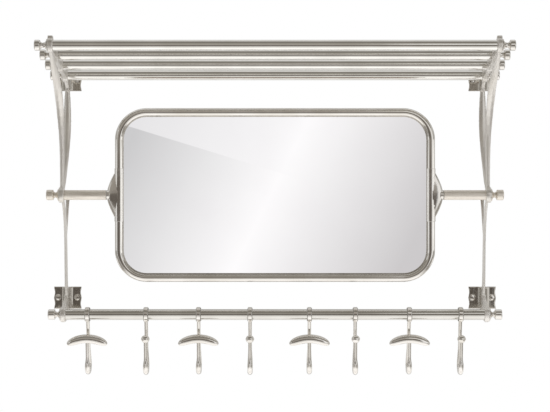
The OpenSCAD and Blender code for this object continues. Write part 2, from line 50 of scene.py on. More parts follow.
sides = {"left": -1, "right": 1}
print("frame loaded:", len(nodes), "nodes")


def linearColour(hexText):
    # sRGB hex to the linear values that the shaders want
    values = [int(hexText[k:k + 2], 16) / 255 for k in (1, 3, 5)]
    return [v / 12.92 if v <= 0.04045 else ((v + 0.055) / 1.055) ** 2.4 for v in values] + [1]


def addNode(tree, kind, settings={}, links={}):
    # settings are attributes or input values, links are input name to output socket
    node = tree.nodes.new(kind)
    for key, value in settings.items():
        if isinstance(key, str) and hasattr(node, key):
            setattr(node, key, value)
        else:
            node.inputs[key].default_value = value
    for key, socket in links.items():
        tree.links.new(socket, node.inputs[key])
    return node


def linkedObject(name, data):
    made = bpy.data.objects.new(name, data)
    bpy.context.scene.collection.objects.link(made)
    return made


def finishPiece(name, mesh, material, body, replaced=()):
    mesh.materials.clear()
    mesh.materials.append(material)
    mesh.shade_smooth()
    mesh.set_sharp_from_angle(angle=creaseAngle)
    piece = linkedObject(name, mesh)
    even = piece.modifiers.new("evenNormals", "WEIGHTED_NORMAL")
    even.keep_sharp = True
    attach(piece, body)
    if replaced:
        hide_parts(*replaced)
    return piece


def plainMesh(bm, name):
    mesh = bpy.data.meshes.new(name)
    bm.to_mesh(mesh)
    bm.free()
    return mesh


def meshFrom(bm, name):
    bmesh.ops.remove_doubles(bm, verts=bm.verts, dist=weld)
    bmesh.ops.recalc_face_normals(bm, faces=bm.faces)
    return plainMesh(bm, name)


def cadMesh(node):
    # a node's own mesh from the frame, merged
    bm = bmesh.new()
    bm.from_mesh(nodes[node].data)
    bmesh.ops.remove_doubles(bm, verts=bm.verts, dist=cadWeld)
    return bm


def evaluatedMesh(piece):
    # the mesh that an object's modifiers make
    bpy.context.view_layer.update()
    depsgraph = bpy.context.evaluated_depsgraph_get()
    return bpy.data.meshes.new_from_object(piece.evaluated_get(depsgraph))


def softenEdges(bm, width):
    # rounds every sharp edge, over a width in mm
    bmesh.ops.remove_doubles(bm, verts=bm.verts, dist=weld)
    bmesh.ops.recalc_face_normals(bm, faces=bm.faces)
    sharp = [e for e in bm.edges if len(e.link_faces) == 2 and e.calc_face_angle(0) > creaseAngle]
    bmesh.ops.bevel(bm, geom=sharp, offset=width * mm, offset_type="OFFSET", affect="EDGES",
                    segments=3, profile=0.5, material=-1, clamp_overlap=True)


def turned(bm, profile, closed=False, steps=64):
    # spins a profile of (radius, height) in mm round Z
    verts = [bm.verts.new((r * mm, 0, h * mm)) for r, h in profile]
    edges = [bm.edges.new(pair) for pair in zip(verts, verts[1:])]
    if closed:
        edges.append(bm.edges.new((verts[-1], verts[0])))
    bmesh.ops.spin(bm, geom=verts + edges, cent=(0, 0, 0), axis=(0, 0, 1),
                   angle=2 * math.pi, steps=steps, use_merge=True)
    bmesh.ops.remove_doubles(bm, verts=bm.verts, dist=weld)


def alongX(bm, place=(0, 0, 0), way=1):
    # turns what was made round Z so that it runs along X from a place
    turn = Matrix.Rotation(way * math.pi / 2, 4, "Y")
    bmesh.ops.transform(bm, matrix=Matrix.Translation(place) @ turn, verts=bm.verts)


def roundProfile(centre, radius, start, end, steps):
    # points of a rounding in a turned profile
    angles = [math.radians(start + (end - start) * k / steps) for k in range(steps + 1)]
    return [(centre[0] + radius * math.cos(a), centre[1] + radius * math.sin(a)) for a in angles]


def swept(bm, ring, stations):
    # ring is a loop of vertices in the XY plane, and each station a matrix that places it
    edges = list({e: 1 for v in ring for e in v.link_edges})
    bmesh.ops.transform(bm, matrix=stations[0], verts=ring)
    for before, after in zip(stations, stations[1:]):
        made = bmesh.ops.extrude_edge_only(bm, edges=edges)["geom"]
        ring = [g for g in made if isinstance(g, bmesh.types.BMVert)]
        edges = [g for g in made if isinstance(g, bmesh.types.BMEdge)
                 and all(v in ring for v in g.verts)]
        bmesh.ops.transform(bm, matrix=after @ before.inverted(), verts=ring)
    bmesh.ops.contextual_create(bm, geom=edges)


def ridgedRing(bm, steps, power):
    # unit loop: a power over one draws its sides in to ridges, one under it squares them out
    bmesh.ops.create_circle(bm, cap_ends=True, segments=steps, radius=1)
    for v in bm.verts:
        v.co.x = math.copysign(abs(v.co.x) ** power, v.co.x)
        v.co.y = math.copysign(abs(v.co.y) ** power, v.co.y)
    return bm.verts[:]


def station(place, across, deep, way, width=1, depth=1):
    # matrix with X across, Y deep and Z along the way
    turn = Matrix((across, deep, way)).transposed().to_4x4()
    return Matrix.Translation(place) @ turn @ Matrix.Diagonal((width, depth, 1, 1))


def joinSolids(name, meshes, cutters=()):
    # fuses closed meshes into one skin, less what the cutters take away
    parts = [linkedObject(name + "Part" + str(k), mesh)
             for k, mesh in enumerate([*meshes, *cutters])]
    for k, other in enumerate(parts[1:], 1):
        fuse = parts[0].modifiers.new("fuse", "BOOLEAN")
        fuse.operation = "UNION" if k < len(meshes) else "DIFFERENCE"
        fuse.solver = "EXACT"
        fuse.object = other
    bm = bmesh.new()
    bm.from_mesh(evaluatedMesh(parts[0]))
    bmesh.ops.remove_doubles(bm, verts=bm.verts, dist=sliver)
    bmesh.ops.dissolve_degenerate(bm, edges=bm.edges, dist=sliver)
    for part in parts:
        bpy.data.objects.remove(part)
    return plainMesh(bm, name)


def newMaterial(name):
    # an empty material, its tree, and the coordinates that its textures lie in
    material = bpy.data.materials.new(name)
    material.use_nodes = True
    tree = material.node_tree
    tree.nodes.clear()
    return material, tree, addNode(tree, "ShaderNodeTexCoord").outputs["Object"]


def noise(tree, place, size, detail):
    # spots of about a size in mm
    return addNode(tree, "ShaderNodeTexNoise", {"Scale": 1 / (size * mm), "Detail": detail},
                   {"Vector": place}).outputs["Fac"]


def tintRamp(tree, share, dark, light, low=0.3, high=0.7):
    tint = addNode(tree, "ShaderNodeValToRGB", {}, {"Fac": share})
    for k, (position, hexText) in enumerate(((low, dark), (high, light))):
        tint.color_ramp.elements[k].position = position
        tint.color_ramp.elements[k].color = linearColour(hexText)
    return tint.outputs["Color"]


def bumpFrom(tree, height, depth):
    return addNode(tree, "ShaderNodeBump", {"Strength": 1, "Distance": depth * mm},
                   {"Height": height}).outputs["Normal"]


def surfaceOf(tree, settings, links):
    shader = addNode(tree, "ShaderNodeBsdfPrincipled", settings, links)
    addNode(tree, "ShaderNodeOutputMaterial", {}, {"Surface": shader.outputs["BSDF"]})


# Polished nickel plate on brass: a warm white metal, buffed along the piece, so reflections stay
# sharp with a faint haze from fine wiping marks, drawn coarse enough to show. A casting's limbs
# are only linished lengthwise: their reflections are streaked and blurred, and its wall plates,
# which are flat enough for the wheel, keep a full polish and are painted a darker tone as painted
# shade.
nickelForm = {"cloud": 60, "detail": 2, "hazeLow": 0.12, "hazeHigh": 0.42, "clearest": 0.6,
              "haziest": 1.7, "plateFront": -7, "limbFront": -16, "streak": 0.12, "waveDetail": 1}


def polishedNickel(name, roughness, hazeSize, waveDepth, waveSize, dark="#dcd8d1",
                   light="#e8e5e1", linished=0, paintedPlateShade="#c0bbb3"):
    form = nickelForm
    material, tree, place = newMaterial(name)
    cloud = noise(tree, place, form["cloud"], form["detail"])
    haze = addNode(tree, "ShaderNodeMath", {"operation": "MULTIPLY"},
                   {0: noise(tree, place, hazeSize, form["detail"]), 1: cloud}).outputs[0]
    dullness = addNode(tree, "ShaderNodeMapRange",
                       {"From Min": form["hazeLow"], "From Max": form["hazeHigh"],
                        "To Min": roughness * form["clearest"],
                        "To Max": roughness * form["haziest"]}, {"Value": haze}).outputs["Result"]
    colour, wavePlace = tintRamp(tree, cloud, dark, light), place
    if linished:
        # nought on the wall plates, rising to one on the limbs in front of them; it sets the limbs'
        # blur and the plates' painted shade
        depth = addNode(tree, "ShaderNodeSeparateXYZ", {}, {0: place}).outputs["Y"]
        limb = addNode(tree, "ShaderNodeMapRange", {"From Min": form["plateFront"] * mm,
                                                    "From Max": form["limbFront"] * mm},
                       {"Value": depth}).outputs["Result"]
        dullness = addNode(tree, "ShaderNodeMath", {"operation": "MULTIPLY_ADD", 1: linished},
                           {0: limb, 2: dullness}).outputs[0]
        # the wall plates are painted this darker tone: painted shade
        colour = addNode(tree, "ShaderNodeMix", {"data_type": "RGBA", 6: linearColour(paintedPlateShade)},
                         {0: limb, 7: colour}).outputs[2]
        wavePlace = addNode(tree, "ShaderNodeMapping", {"Scale": (1, 1, form["streak"])},
                            {"Vector": place}).outputs[0]
    normal = bumpFrom(tree, noise(tree, wavePlace, waveSize, form["waveDetail"]), waveDepth)
    surfaceOf(tree, {"Metallic": 1},
              {"Base Color": colour, "Roughness": dullness, "Normal": normal})
    return material


grainForm = {"spotDetail": 5, "grainDetail": 3, "smoothest": 0.8, "roughest": 1.2}


def mottled(name, dark, light, spotSize, roughness, grainSize, grainDepth, metallic=0):
    # plain stuff with a mottled colour and a fine grain
    form = grainForm
    material, tree, place = newMaterial(name)
    spots = noise(tree, place, spotSize, form["spotDetail"])
    grain = noise(tree, place, grainSize, form["grainDetail"])
    rough = addNode(tree, "ShaderNodeMapRange", {"To Min": roughness * form["smoothest"],
                                                 "To Max": roughness * form["roughest"]},
                    {"Value": grain})
    surfaceOf(tree, {"Metallic": metallic},
              {"Base Color": tintRamp(tree, spots, dark, light),
               "Roughness": rough.outputs["Result"], "Normal": bumpFrom(tree, grain, grainDepth)})
    return material


def silveredGlass():
    # float glass, silvered behind: a true mirror, sharp, its silver a shade uneven over hand widths
    material, tree, place = newMaterial("silveredGlass")
    cloud = noise(tree, place, size=90, detail=3)
    surfaceOf(tree, {"Metallic": 1, "Roughness": 0},
              {"Base Color": tintRamp(tree, cloud, "#f4f3f4", "#f8f8f8", low=0, high=1)})
    return material


# Drawn tube, buffed on long wheels, so that its bright and dark lines run clean from end to end.
# The shelf's copy is painted a little paler, as painted light, and the rail's a little darker, as
# painted shade.
longBuffed = {"roughness": 0.08, "hazeSize": 4, "waveDepth": 0.02, "waveSize": 45}
tubeNickel = polishedNickel("tubePolishedNickel", **longBuffed)
shelfNickelPaintedLight = polishedNickel("shelfPolishedNickelPaintedLight", **longBuffed, dark="#e5e3de", light="#f0eeea")
railNickelPaintedShade = polishedNickel("railPolishedNickelPaintedShade", **longBuffed, dark="#cdcac4", light="#d9d7d2")
# Turned on the lathe and buffed: small crisp highlights.
turnedNickel = polishedNickel("turnedPolishedNickel", roughness=0.08, hazeSize=3, waveDepth=0.02,
                              waveSize=12)
# Cast, filed and rubbed down, so that the highlights waver; the sleeves more finely.
castNickel = polishedNickel("castPolishedNickel", roughness=0.12, hazeSize=5, waveDepth=0.2,
                            waveSize=5, linished=0.3)
sleeveNickel = polishedNickel("sleevePolishedNickel", roughness=0.12, hazeSize=5, waveDepth=0.12,
                              waveSize=9)
# Forged to shape and buffed by hand: the highlights wander a little along the bends.
hookNickel = polishedNickel("hookPolishedNickel", roughness=0.1, hazeSize=3, waveDepth=0.08,
                            waveSize=10)
# Plated and, by its look, not buffed: painted dark in the frame's channel, as painted shade, pale
# on the mirror bars, and on both too dull for lines, only soft shading.
lipNickelPaintedShade = polishedNickel("lipSatinNickelPaintedShade", roughness=0.42, hazeSize=4, waveDepth=0.02,
                           waveSize=20, dark="#b8b3ab", light="#c4c0b9")
satinNickel = polishedNickel("satinNickel", roughness=0.5, hazeSize=2, waveDepth=0.05,
                             waveSize=20, dark="#e9e2d8", light="#f0ebe3")
mirrorGlass = silveredGlass()
# Bare turned steel, grey and half bright, with a fine grain from the tool.
turnedSteel = mottled("turnedSteel", "#a3a3a1", "#b9b8b5", spotSize=8, roughness=0.3,
                      grainSize=0.3, grainDepth=0.01, metallic=1)
# Moulded nylon in a smoky grey that hides between the polished parts, with a soft sheen.
smokeNylon = mottled("smokeNylon", "#8f8b83", "#a09c93", spotSize=4, roughness=0.4,
                     grainSize=0.5, grainDepth=0.02)
# Pressed wood fibre, brown and matte, with a coarse speckle.
hardboard = mottled("hardboard", "#6b4a2f", "#8a6642", spotSize=3, roughness=0.75,
                    grainSize=0.8, grainDepth=0.15)
print("materials made")

tubeForm = {"wall": 1.5, "edge": 0.35, "steps": 96}
tubeNodes = ["shelf_tube_" + str(k) for k in range(1, 5)]
tubeNodes += ["hook_rail", "mirror_bar_left", "mirror_bar_right"]
for node in tubeNodes:
    low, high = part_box(node)
    centre = (low + high) / 2
    length = (high.x - low.x) / mm
    radius = (high.z - low.z) / 2 / mm
    inner = radius - tubeForm["wall"]
    bm = bmesh.new()
    turned(bm, [(inner, 0), (radius, 0), (radius, length), (inner, length)], closed=True,
           steps=tubeForm["steps"])
    softenEdges(bm, tubeForm["edge"])
    alongX(bm, (low.x, centre.y, centre.z))
    # the shelf tubes take the painted-light copy and the rail the painted-shade copy
    finish = satinNickel if "bar" in node else railNickelPaintedShade if "rail" in node else shelfNickelPaintedLight
    finishPiece(node + "_polished", meshFrom(bm, node), finish, "rack", [node])
print("tubes turned")

# Turned finials: a flange against the tube's end, a cove down to the neck, a bead and a cap.
finialForm = {"flange": 26, "flangeEdge": 1.1, "neck": 11, "coveLip": 2.4, "coveRise": 0.5,
              "coveShare": 0.32, "bead": 1.3, "beadOut": 0.2, "beadBack": 1.7, "collar": 1.6,
              "cap": 22.8, "capEdge": 2.3, "crown": 0.35, "crownEdge": 0.25, "crownShare": 0.45,
              "shelfCap": 12, "barCap": 15.5, "spigotPlay": 0.05, "coveSteps": 14}


def finialProfile(spigot, spigotLen, length, capLen):
    form = finialForm
    flangeR, neckR, capR = form["flange"] / 2, form["neck"] / 2, form["cap"] / 2
    flangeEdge, capEdge = form["flangeEdge"], form["capEdge"]
    capStart = length - capLen
    coveR, coveStart = flangeR - form["coveLip"], 2 * flangeEdge + form["coveRise"]
    coveEnd = coveStart + (capStart - coveStart) * (1 - form["coveShare"])
    reach, run, steps = coveR - neckR, coveEnd - coveStart, form["coveSteps"]
    profile = [(0, -spigotLen), (spigot, -spigotLen), (spigot, 0)]
    profile += roundProfile((flangeR - flangeEdge, flangeEdge), flangeEdge, -90, 90, 10)
    profile += [(coveR, coveStart)]
    profile += [(neckR + reach * (1 - math.sin(a)), coveStart + run * (1 - math.cos(a)))
                for a in [math.pi / 2 * k / steps for k in range(1, steps + 1)]]
    profile += roundProfile((neckR + form["beadOut"], capStart - form["beadBack"]), form["bead"],
                            -70, 70, 8)
    profile += [(neckR + form["collar"], capStart)]
    profile += roundProfile((capR - capEdge, capStart + capEdge), capEdge, -90, 0, 8)
    profile += roundProfile((capR - capEdge, length - capEdge), capEdge, 0, 90, 8)
    return profile + [(capR * form["crownShare"], length + form["crownEdge"]),
                      (0, length + form["crown"])]


finialNodes = ["shelf_finial_" + str(k) + "_" + s for k in range(1, 5) for s in sides]
finialNodes += [kind + s for kind in ("mirror_bar_finial_", "rail_finial_") for s in sides]
for node in finialNodes:
    low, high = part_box(node)
    centre = (low + high) / 2
    side = -1 if centre.x < 0 else 1
    carrier = ("hook_rail" if "rail" in node else "mirror_bar_" + node.split("_")[-1]
               if "bar" in node else "shelf_tube_" + node.split("_")[2])
    tubeLow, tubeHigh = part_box(carrier)
    face = tubeHigh.x if side > 0 else tubeLow.x
    length = (high.x - face if side > 0 else face - low.x) / mm
    spigotLen = (face - low.x if side > 0 else high.x - face) / mm
    spigot = (tubeHigh.z - tubeLow.z) / 2 / mm - tubeForm["wall"] - finialForm["spigotPlay"]
    capLen = finialForm["shelfCap"] if "shelf" in node else finialForm["barCap"]
    bm = bmesh.new()
    turned(bm, finialProfile(spigot, spigotLen, length - finialForm["crown"], capLen))
    alongX(bm, (face, centre.y, centre.z), side)
    finish = satinNickel if "bar" in node else turnedNickel
    finishPiece(node + "_turned", meshFrom(bm, node), finish, "rack", [node])
print("finials turned")

# The casting's own skin is remade evenly at this pitch and rubbed down, which leaves the
# small fillets of a polished casting.
castForm = {"pitch": 1.1, "rub": 0.5, "passes": 7}


def castSkin(node):
    shell = linkedObject(node + "Shell", plainMesh(cadMesh(node), node + "Shell"))
    even = shell.modifiers.new("even", "REMESH")
    even.mode = "VOXEL"
    even.voxel_size = castForm["pitch"] * mm
    rub = shell.modifiers.new("rub", "SMOOTH")
    rub.factor = castForm["rub"]
    rub.iterations = castForm["passes"]
    skin = evaluatedMesh(shell)
    bpy.data.objects.remove(shell)
    return skin


for side in sides:
    node = "bracket_" + side
    finishPiece(node + "_casting", castSkin(node), castNickel, "rack", [node])
print("brackets cast")

# Wall screws with raised countersunk heads and a crossed slot, cut off just before the wall.
screwForm = {"start": 0.3, "shank": 4.9, "neck": 1.6, "head": 10.8, "rim": 4.55, "edge": 0.25,
             "dome": 0.9, "slot": 1, "slotLen": 5.4, "slotFloor": 3.4, "slotTop": 7, "steps": 48,
             "domeSteps": 8, "firstTurn": 0.7, "nextTurn": 1.9}  # the turns are in radians


def screwMesh():
    form = screwForm
    shankR, headR, top = form["shank"] / 2, form["head"] / 2, form["rim"] + form["edge"]
    domeR = (headR ** 2 + form["dome"] ** 2) / (2 * form["dome"])
    profile = [(0, form["start"]), (shankR, form["start"]), (shankR, form["neck"]),
               (headR, form["rim"]), (headR, top)]
    for k in range(1, form["domeSteps"] + 1):
        r = headR * (1 - k / form["domeSteps"])
        profile.append((r, top + form["dome"] - domeR + math.sqrt(domeR ** 2 - r ** 2)))
    bm = bmesh.new()
    turned(bm, profile, steps=form["steps"])
    body = meshFrom(bm, "screwBody")
    slots = []
    deep = form["slotTop"] - form["slotFloor"]
    for across, along in ((form["slot"], form["slotLen"]), (form["slotLen"], form["slot"])):
        bm = bmesh.new()
        bmesh.ops.create_cube(bm, size=mm)
        bmesh.ops.transform(bm, matrix=Matrix.Diagonal((across, along, deep, 1)), verts=bm.verts)
        bmesh.ops.translate(bm, vec=(0, 0, (form["slotFloor"] + deep / 2) * mm), verts=bm.verts)
        slots.append(meshFrom(bm, "screwSlot"))
    mesh = joinSolids("wallScrew", [body], slots)
    mesh.transform(Matrix.Rotation(math.pi / 2, 4, "X"))
    return mesh


screwShape = screwMesh()
for mount in frame["record"]["mounts"]:
    if mount["kind"] != "bolt_pattern":
        continue
    spreadX, spreadZ = mount["dims"]["spacing_x_mm"] * mm, mount["dims"]["spacing_y_mm"] * mm
    for k in range(4):
        place = Matrix.Translation(((k % 2 - 0.5) * spreadX, 0, (k // 2 - 0.5) * spreadZ))
        turn = Matrix.Rotation(screwForm["firstTurn"] + screwForm["nextTurn"] * k, 4, "Y")
        mesh = screwShape.copy()
        mesh.transform(place @ turn)
        finishPiece(mount["name"] + "_" + str(k + 1), mesh, turnedNickel, "rack")
print("wall screws set")

# Mirror frame: two bent U's of tube, with a channel of two lips that holds the glass and board.
frameForm = {"tube": 18, "lip": 1.5, "lipThick": 10.8, "lipEdge": 7.6, "lipBow": 0.75,
             "bowShare": 0.72, "lipFacing": 0.6, "corner": 61, "cornerSteps": 24, "butt": 0.05}


def frameRing(bm):
    # section of the frame: a round tube with two lips on its inner side, thinner at their edges
    form = frameForm
    r = form["tube"] / 2
    reach, half, edge = r + form["lip"], form["lipThick"] / 2, form["lipEdge"] / 2
    start = math.degrees(math.asin(half / r))
    bow = (reach + r * form["lipBow"]) / 2, edge + (half - edge) * form["bowShare"]
    points = ([(-reach, edge), (-bow[0], bow[1])]
              + roundProfile((0, 0), r, 180 - start, -180 + start, 40)
              + [(-bow[0], -bow[1]), (-reach, -edge)])
    verts = [bm.verts.new((x * mm, y * mm, 0)) for x, y in points]
    for pair in zip(verts, verts[1:] + verts[:1]):
        bm.edges.new(pair)
    bmesh.ops.contextual_create(bm, geom=verts)
    return verts


def frameStations(centre, halfW, halfH, way):
    # from the right butt up (or down) round both corners to the left butt
    corner, steps, butt = frameForm["corner"] * mm, frameForm["cornerSteps"], frameForm["butt"] * mm
    straight, across = halfH - corner, halfW - corner
    front = Vector((0, -1, 0))

    def place(x, z, outX, outZ):
        out = Vector((outX, 0, outZ * way))
        return station(centre + Vector((x, 0, z * way)), out, front, out.cross(front))

    stations = [place(halfW, butt, 1, 0)]
    for end, quarter in ((1, 0), (-1, 1)):
        for k in range(steps + 1):
            a = math.pi / 2 * (quarter + k / steps)
            stations.append(place(end * across + corner * math.cos(a),
                                  straight + corner * math.sin(a), math.cos(a), math.sin(a)))
    return stations + [place(-halfW, butt, -1, 0)]


topLow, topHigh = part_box("mirror_frame_top")
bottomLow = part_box("mirror_frame_bottom")[0]
tiltCentre = Vector((0, (topLow.y + topHigh.y) / 2, (topHigh.z + bottomLow.z) / 2))
halfW = topHigh.x - frameForm["tube"] / 2 * mm
halfH = topHigh.z - tiltCentre.z - frameForm["tube"] / 2 * mm
lipRoot = frameForm["lipThick"] / 2 * mm + 10 * cadWeld
for node, way in (("mirror_frame_top", 1), ("mirror_frame_bottom", -1)):
    bm = bmesh.new()
    swept(bm, frameRing(bm), frameStations(tiltCentre, halfW, halfH, way))
    mesh = meshFrom(bm, node)
    finishPiece(node + "_bent", mesh, tubeNickel, "mirror", [node])
    mesh.materials.append(lipNickelPaintedShade)  # the lips get the darker copy: painted shade in the channel
    for face in mesh.polygons:
        if (abs(face.center.y - tiltCentre.y) < lipRoot
                and abs(face.normal.y) > frameForm["lipFacing"]):
            face.material_index = 1


def dressedCopy(node, name, material, body, edge):
    # the node's own shape with its edges softened over a width in mm
    bm = cadMesh(node)
    bmesh.ops.dissolve_limit(bm, angle_limit=math.radians(1), verts=bm.verts, edges=bm.edges)
    softenEdges(bm, edge)
    return finishPiece(name, meshFrom(bm, name), material, body, [node])


edgeForm = {"sheet": 0.3, "small": 0.15, "liner": 0.25}
dressedCopy("mirror_glass", "mirror_glass_silvered", mirrorGlass, "mirror",
            edgeForm["sheet"])
dressedCopy("backing_board", "backing_board_sawn", hardboard, "mirror", edgeForm["sheet"])
dressedCopy("frame_screws", "frame_screws_turned", turnedSteel, "mirror",
            edgeForm["small"])

# Pivot sleeves: a tube over the butts of the two U's, a boss outside it, and a land on the boss.
sleeveForm = {"sleeve": 20.4, "play": 0.05, "length": 116, "edgeIn": 0.3, "edgeUp": 0.5,
              "boss": 95, "bossOut": 18, "bossTip": 0.55, "bossPower": 1.6, "bossSquare": 0.62,
              "bossSteps": 40, "bossCut": 0.3, "land": 21.4, "landLen": 6.3, "landEdge": 0.6}


def sleeveMesh():
    # round its own centre, with the boss towards positive X
    form = sleeveForm
    r, half = form["sleeve"] / 2, form["length"] / 2
    bore = frameForm["tube"] / 2 + form["play"]
    edgeR, edgeZ = r - form["edgeIn"], half - form["edgeUp"]
    bm = bmesh.new()
    turned(bm, [(bore, -half), (edgeR, -half), (r, -edgeZ),
                (r, edgeZ), (edgeR, half), (bore, half)], closed=True, steps=tubeForm["steps"])
    sleeve = meshFrom(bm, "sleeve")
    # boat-shaped boss: a lens in front view, flat towards the frame
    bm = bmesh.new()
    ring = ridgedRing(bm, 64, form["bossSquare"])
    reach = form["bossOut"] + frameForm["tube"] / 2
    stations = []
    for k in range(form["bossSteps"] + 1):
        share = -1 + 2 * k / form["bossSteps"]
        swell = 1 - abs(share) ** form["bossPower"]
        stations.append(station(Vector((0, 0, form["boss"] / 2 * share)) * mm, Vector((1, 0, 0)),
                                Vector((0, 1, 0)), Vector((0, 0, 1)),
                                (r + (reach - r) * swell) * mm,
                                r * (form["bossTip"] + (1 - form["bossTip"]) * swell) * mm))
    swept(bm, ring, stations)
    bmesh.ops.bisect_plane(bm, geom=bm.verts[:] + bm.edges[:] + bm.faces[:],
                           plane_co=(bore * form["bossCut"] * mm, 0, 0), plane_no=(1, 0, 0),
                           clear_inner=True)
    bmesh.ops.holes_fill(bm, edges=[e for e in bm.edges if e.is_boundary], sides=0)
    boss = meshFrom(bm, "boss")
    # round land that meets the mirror bar's washer
    bm = bmesh.new()
    landR, foot, edge = form["land"] / 2, reach - form["landLen"], form["landEdge"]
    turned(bm, [(0, foot), (landR, foot)]
           + roundProfile((landR - edge, reach - edge), edge, 0, 90, 4) + [(0, reach)])
    alongX(bm)
    return joinSolids("pivotSleeve", [sleeve, boss, meshFrom(bm, "land")])


sleeveShape = sleeveMesh()
for side, sign in sides.items():
    bm = bmesh.new()
    bm.from_mesh(sleeveShape)
    place = Matrix.Translation((sign * halfW, tiltCentre.y, tiltCentre.z))
    bmesh.ops.transform(bm, matrix=place @ Matrix.Diagonal((sign, 1, 1, 1)), verts=bm.verts)
    node = "pivot_sleeve_" + side
    finishPiece(node + "_casting", meshFrom(bm, node), sleeveNickel, "mirror",
                [node])
    for node, material, slot in (("pivot_stud_" + side, turnedSteel, "steel"),
                                 ("pivot_washer_" + side, smokeNylon, "nylon")):
        dressedCopy(node, node + "_turned", material, "rack", edgeForm["small"])
print("mirror made")

# Hooks: an eye round the rail, a shank, a bend and a leg, with a ball or a crescent at its tip.
hookForm = {"eye": 33, "eyeWidth": 8.5, "eyeEdge": 0.8, "bore": 26.9, "rootSink": 1.4, "shank": 8,
            "bend": 11.6, "tip": 7.2, "bendRadius": 16, "drop": 133.4, "tipDrop": 50,
            "frontLean": 8, "shankStep": 0.7, "legStep": 0.3, "shankSteps": 12, "bendSteps": 28,
            "legSteps": 14, "knobDrop": 2.5, "ballWidth": 18.6, "ballHeight": 17.2}
crescentForm = {"width": 88, "height": 20.4, "depth": 15.8, "sag": 12.5, "ridge": 1.1, "tilt": 30,
                "sweep": 88, "steps": 48, "taper": 4, "fullness": 0.45}
hookLean = {"coat": 10.5, "hat": 15.3}


def hookStations(lean):
    # side view: d is the distance in front of the rail's axis, h the height over it, in mm
    form = hookForm
    a, f = math.radians(lean), math.radians(form["frontLean"])
    bendR = form["bendRadius"]
    bendHeight = form["drop"] - bendR - form["bend"] / 2
    shankLen = (bendHeight - bendR * math.sin(a)) / math.cos(a)
    centre = (bendR * math.cos(a) - shankLen * math.sin(a), -bendHeight)
    foot = (centre[0] + bendR * math.cos(f), centre[1] - bendR * math.sin(f))
    tip = (foot[0] + (-form["tipDrop"] - foot[1]) * math.tan(f), -form["tipDrop"])
    down, up = (-math.sin(a), -math.cos(a)), (math.sin(f), math.cos(f))
    places = []
    root = form["eye"] / 2 - form["rootSink"]
    for k in range(form["shankSteps"] + 1):
        t = root + (shankLen - root) * k / form["shankSteps"]
        swell = max(0, (t / shankLen - form["shankStep"]) / (1 - form["shankStep"]))
        size = form["shank"] + (form["bend"] - form["shank"]) * swell
        places.append(((t * down[0], t * down[1]), down, size))
    for k in range(1, form["bendSteps"] + 1):
        b = math.radians(180 - lean + (180 + lean - form["frontLean"]) * k / form["bendSteps"])
        places.append(((centre[0] + bendR * math.cos(b), centre[1] + bendR * math.sin(b)),
                       (-math.sin(b), math.cos(b)), form["bend"]))
    for k in range(1, form["legSteps"] + 1):
        t = k / form["legSteps"]
        swell = max(0, 1 - t / form["legStep"])
        size = form["tip"] + (form["bend"] - form["tip"]) * swell * swell * (3 - 2 * swell)
        places.append(((foot[0] + (tip[0] - foot[0]) * t, foot[1] + (tip[1] - foot[1]) * t),
                       up, size))
    across = Vector((1, 0, 0))
    stations = []
    for (d, h), way, size in places:
        direction = Vector((0, -way[0], way[1]))
        stations.append(station(Vector((0, -d, h)) * mm, across, direction.cross(across), direction,
                                size / 2 * mm, size / 2 * mm))
    return stations, tip


def ballMesh():
    bm = bmesh.new()
    bmesh.ops.create_uvsphere(bm, u_segments=40, v_segments=28, radius=1)
    size = Vector((hookForm["ballWidth"], hookForm["ballWidth"], hookForm["ballHeight"]))
    bmesh.ops.scale(bm, vec=size / 2 * mm, verts=bm.verts)
    knob = meshFrom(bm, "ball")
    knob.transform(Matrix.Rotation(math.radians(hookForm["frontLean"]), 4, "X"))
    return knob


def crescentMesh():
    # bowed down at both ends, leaning back, thickest in the middle
    form = crescentForm
    bm = bmesh.new()
    ring = ridgedRing(bm, 48, form["ridge"])
    halfWidth, sag, raised = form["width"] / 2, form["sag"], math.radians(form["tilt"])
    bow = []
    for k in range(form["steps"] + 1):
        share = math.sin(math.radians(form["sweep"] * (2 * k / form["steps"] - 1)))
        swell = (1 - share ** form["taper"]) ** form["fullness"]
        way = Vector((halfWidth, 0, -2 * sag * share)).normalized()
        front = Vector((0, -1, 0))
        front = front * math.cos(raised) - way.cross(front) * math.sin(raised)
        bow.append(station(Vector((halfWidth * share, 0, -sag * share * share)) * mm, front,
                           way.cross(front), way, form["depth"] / 2 * swell * mm,
                           form["height"] / 2 * swell * mm))
    swept(bm, ring, bow)
    return meshFrom(bm, "crescent")


def hookMesh(kind):
    form = hookForm
    stations, tip = hookStations(hookLean[kind])
    bm = bmesh.new()
    bmesh.ops.create_circle(bm, cap_ends=True, segments=32, radius=1)
    swept(bm, bm.verts[:], stations)
    rod = meshFrom(bm, "rod")
    half, bore, edge = form["eyeWidth"] / 2, form["bore"] / 2, form["eyeEdge"]
    rimR, rimX = form["eye"] / 2 - edge, half - edge
    bm = bmesh.new()
    turned(bm, [(bore, -half)] + roundProfile((rimR, -rimX), edge, -90, 0, 4)
           + roundProfile((rimR, rimX), edge, 0, 90, 4) + [(bore, half)],
           closed=True, steps=tubeForm["steps"])
    alongX(bm)
    eye = meshFrom(bm, "eye")
    knob = ballMesh() if kind == "coat" else crescentMesh()
    knob.transform(Matrix.Translation(Vector((0, -tip[0], tip[1] - form["knobDrop"])) * mm))
    return joinSolids(kind + "Hook", [rod, eye, knob])


railLow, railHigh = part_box("hook_rail")
railCentre = (railLow + railHigh) / 2
hookShapes = {kind: hookMesh(kind) for kind in hookLean}
for k in range(1, 9):
    kind = "hat" if k % 2 else "coat"
    node = kind + "_hook_" + str(k)
    liner = "hook_liner_" + str(k)
    low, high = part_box(liner)
    mesh = hookShapes[kind].copy()
    mesh.transform(Matrix.Translation(((low.x + high.x) / 2, railCentre.y, railCentre.z)))
    finishPiece(node + "_polished", mesh, hookNickel, "hook_" + str(k), [node])
    dressedCopy(liner, liner + "_turned", smokeNylon, "runner_" + str(k),
                edgeForm["liner"])
print("hooks made")


